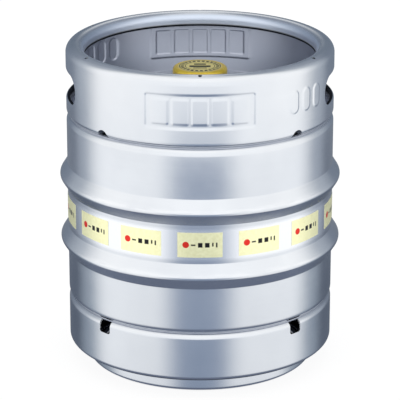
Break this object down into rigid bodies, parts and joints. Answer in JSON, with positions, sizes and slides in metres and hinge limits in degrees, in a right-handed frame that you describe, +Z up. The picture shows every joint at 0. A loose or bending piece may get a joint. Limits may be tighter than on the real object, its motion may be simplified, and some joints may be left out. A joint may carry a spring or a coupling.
{
  "type": "beer keg",
  "caption": "Small steel beer keg with two rolling hoops, hand holes in a curled rim, a spring-loaded spear valve and a dust cap.",
  "frame": {"origin": "centre of the foot ring, on the floor plane, on the keg's axis", "axes": "+Z up along the keg's axis; the front with a pressed panel faces -Y; the two hand holes face +X and -X"},
  "size_m": [0.3354, 0.3354, 0.39],
  "materials": {
    "barrel_steel": "satin",
    "chime_steel": "satin",
    "weld_steel": "as welded",
    "valve_steel": "turned",
    "spring_steel": "drawn wire",
    "seal_rubber": "matte",
    "label_film": "satin",
    "cap_plastic": "metallic gold",
    "disc_film": "printed",
    "liner_foam": "matte"
  },
  "bodies": {
    "keg": {"upper_shell": "barrel_steel", "lower_shell": "barrel_steel", "girth_weld": "weld_steel", "upper_chime": "chime_steel", "lower_chime": "chime_steel", "upper_chime_weld": "weld_steel", "lower_chime_weld": "weld_steel", "barrel_labels": "label_film", "valve_neck": "valve_steel", "neck_weld": "weld_steel", "valve_body": "valve_steel", "body_o_ring": "seal_rubber", "retaining_ring": "spring_steel", "valve_cage": "valve_steel", "main_spring": "spring_steel"},
    "spear": {"gas_seal": "seal_rubber", "seal_core": "valve_steel", "spear_cup": "valve_steel", "spear_tube": "valve_steel", "beer_spring": "spring_steel"},
    "beer_valve": {"beer_ball": "valve_steel"},
    "cap": {"cap_shell": "cap_plastic", "cap_disc": "disc_film", "cap_liner": "liner_foam"}
  },
  "joints": [
    {"name": "cap_lift", "type": "slide", "parent": "keg", "child": "cap", "axis": [0, 0, 1], "range_m": [0, 0.12]},
    {"name": "gas_valve_press", "type": "slide", "parent": "keg", "child": "spear", "axis": [0, 0, -1], "range_m": [0, 0.008], "stiffness_N_per_m": 4000, "springref_m": -0.012, "deforming": ["main_spring"]},
    {"name": "beer_valve_press", "type": "slide", "parent": "spear", "child": "beer_valve", "axis": [0, 0, -1], "range_m": [0, 0.004], "stiffness_N_per_m": 600, "springref_m": -0.004, "deforming": ["beer_spring"]}
  ]
}
